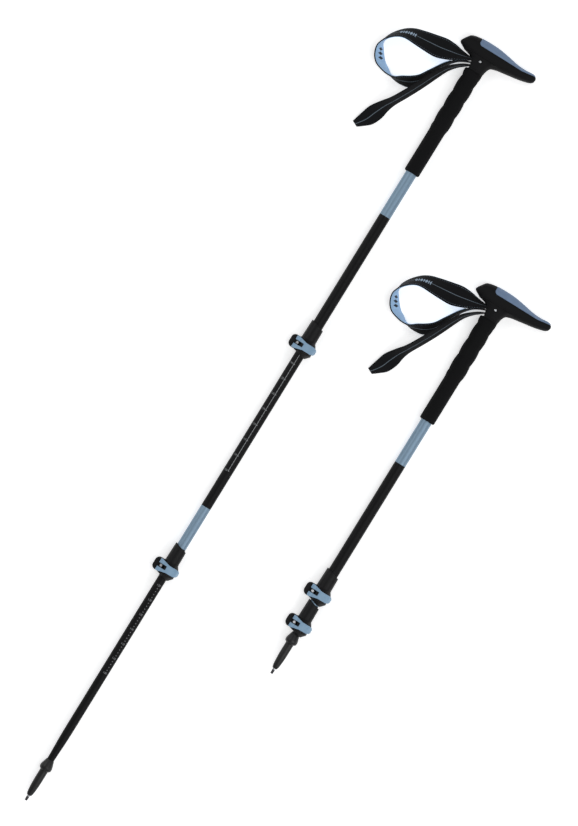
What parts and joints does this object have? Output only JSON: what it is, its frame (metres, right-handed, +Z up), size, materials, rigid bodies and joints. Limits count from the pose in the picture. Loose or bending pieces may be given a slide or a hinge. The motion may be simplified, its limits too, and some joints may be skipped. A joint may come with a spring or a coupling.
{
  "type": "trekking poles",
  "caption": "Pair of telescopic trekking poles, long and collapsed, with T-shaped handles, foam grips, wrist straps and flip-lever locks",
  "frame": {"origin": "middle of the pair's footprint on the ground", "axes": "+Z up from the ground, shafts along Y with the handles towards +Y, the noses of the handles towards +X"},
  "size_m": [0.4534, 1.3553, 0.0354],
  "materials": {
    "handle_rubber": "fine matt grain",
    "pad_rubber": "soft matt insert",
    "foam": "closed-cell foam, matt",
    "webbing": "woven webbing with a stitched seam",
    "lining": "soft light blue knit",
    "black_tube": "satin black anodised tube with a blue-grey band",
    "black_plastic": "moulded, fine matt texture",
    "blue_plastic": "satin blue-grey",
    "grey_plastic": "moulded acetal",
    "steel": "turned and plated",
    "black_steel": "blackened, satin",
    "carbide": "sintered, dull"
  },
  "bodies": {
    "long_upper": {"long_handle": "handle_rubber", "long_palm_pad": "pad_rubber", "long_strap_pin": "steel", "long_foam_grip": "foam", "long_upper_tube": "black_tube", "long_upper_lock_collar": "black_plastic", "long_upper_lock_barrel": "black_steel", "long_upper_lock_washer": "steel"},
    "long_middle": {"long_middle_tube": "black_tube", "long_middle_guide": "grey_plastic", "long_lower_lock_collar": "black_plastic", "long_lower_lock_barrel": "black_steel", "long_lower_lock_washer": "steel"},
    "long_lower": {"long_lower_tube": "black_tube", "long_lower_guide": "grey_plastic", "long_ferrule": "black_plastic", "long_tip_holder": "steel", "long_tip_point": "carbide"},
    "long_strap": {"long_strap_eye": "webbing", "long_wrist_strap": "webbing", "long_strap_lining": "lining", "long_strap_tail": "webbing"},
    "long_wedge": {"long_strap_wedge": "black_plastic"},
    "long_upper_lever": {"long_upper_lock_lever": "blue_plastic"},
    "long_upper_screw": {"long_upper_lock_screw": "steel"},
    "long_lower_lever": {"long_lower_lock_lever": "blue_plastic"},
    "long_lower_screw": {"long_lower_lock_screw": "steel"},
    "short_upper": {"short_handle": "handle_rubber", "short_palm_pad": "pad_rubber", "short_strap_pin": "steel", "short_foam_grip": "foam", "short_upper_tube": "black_tube", "short_upper_lock_collar": "black_plastic", "short_upper_lock_barrel": "black_steel", "short_upper_lock_washer": "steel"},
    "short_middle": {"short_middle_tube": "black_tube", "short_middle_guide": "grey_plastic", "short_lower_lock_collar": "black_plastic", "short_lower_lock_barrel": "black_steel", "short_lower_lock_washer": "steel"},
    "short_lower": {"short_lower_tube": "black_tube", "short_lower_guide": "grey_plastic", "short_ferrule": "black_plastic", "short_tip_holder": "steel", "short_tip_point": "carbide"},
    "short_strap": {"short_strap_eye": "webbing", "short_wrist_strap": "webbing", "short_strap_lining": "lining", "short_strap_tail": "webbing"},
    "short_wedge": {"short_strap_wedge": "black_plastic"},
    "short_upper_lever": {"short_upper_lock_lever": "blue_plastic"},
    "short_upper_screw": {"short_upper_lock_screw": "steel"},
    "short_lower_lever": {"short_lower_lock_lever": "blue_plastic"},
    "short_lower_screw": {"short_lower_lock_screw": "steel"}
  },
  "joints": [
    {"name": "long_middle_slide", "type": "slide", "parent": "long_upper", "child": "long_middle", "axis": [0, -1, 0], "range_m": [-0.343, 0]},
    {"name": "long_lower_slide", "type": "slide", "parent": "long_middle", "child": "long_lower", "axis": [0, -1, 0], "range_m": [-0.328, 0]},
    {"name": "long_upper_lever_hinge", "type": "hinge", "parent": "long_upper", "child": "long_upper_lever", "pos_m": [-0.09137, 0.1345, 0.02722], "axis": [0, -1, 0], "range_deg": [0, 130]},
    {"name": "long_upper_screw_turn", "type": "hinge", "parent": "long_upper", "child": "long_upper_screw", "pos_m": [-0.09137, 0.1345, 0.016], "axis": [0, 0, 1], "continuous": true},
    {"name": "long_lower_lever_hinge", "type": "hinge", "parent": "long_middle", "child": "long_lower_lever", "pos_m": [-0.09037, -0.2635, 0.02684], "axis": [0, -1, 0], "range_deg": [0, 130]},
    {"name": "long_lower_screw_turn", "type": "hinge", "parent": "long_middle", "child": "long_lower_screw", "pos_m": [-0.09037, -0.2635, 0.016], "axis": [0, 0, 1], "continuous": true},
    {"name": "long_strap_swing", "type": "hinge", "parent": "long_upper", "child": "long_strap", "pos_m": [-0.07798, 0.644, 0.016], "axis": [0, 0, 1], "range_deg": [-1, 4]},
    {"name": "long_wedge_slide", "type": "slide", "parent": "long_upper", "child": "long_wedge", "axis": [-1, 0, 0], "range_m": [0, 0.003]},
    {"name": "short_pole_lift", "type": "slide", "parent": "long_upper", "child": "short_upper", "axis": [0, 0, 1], "range_m": [0, 0.3]},
    {"name": "short_middle_slide", "type": "slide", "parent": "short_upper", "child": "short_middle", "axis": [0, -1, 0], "range_m": [0, 0.343]},
    {"name": "short_lower_slide", "type": "slide", "parent": "short_middle", "child": "short_lower", "axis": [0, -1, 0], "range_m": [0, 0.328]},
    {"name": "short_upper_lever_hinge", "type": "hinge", "parent": "short_upper", "child": "short_upper_lever", "pos_m": [0.12662, -0.1755, 0.02722], "axis": [0, -1, 0], "range_deg": [0, 130]},
    {"name": "short_upper_screw_turn", "type": "hinge", "parent": "short_upper", "child": "short_upper_screw", "pos_m": [0.12662, -0.1755, 0.016], "axis": [0, 0, 1], "continuous": true},
    {"name": "short_lower_lever_hinge", "type": "hinge", "parent": "short_middle", "child": "short_lower_lever", "pos_m": [0.12762, -0.2305, 0.02684], "axis": [0, -1, 0], "range_deg": [0, 130]},
    {"name": "short_lower_screw_turn", "type": "hinge", "parent": "short_middle", "child": "short_lower_screw", "pos_m": [0.12762, -0.2305, 0.016], "axis": [0, 0, 1], "continuous": true},
    {"name": "short_strap_swing", "type": "hinge", "parent": "short_upper", "child": "short_strap", "pos_m": [0.14003, 0.334, 0.016], "axis": [0, 0, 1], "range_deg": [-1, 4]},
    {"name": "short_wedge_slide", "type": "slide", "parent": "short_upper", "child": "short_wedge", "axis": [-1, 0, 0], "range_m": [0, 0.003]}
  ]
}
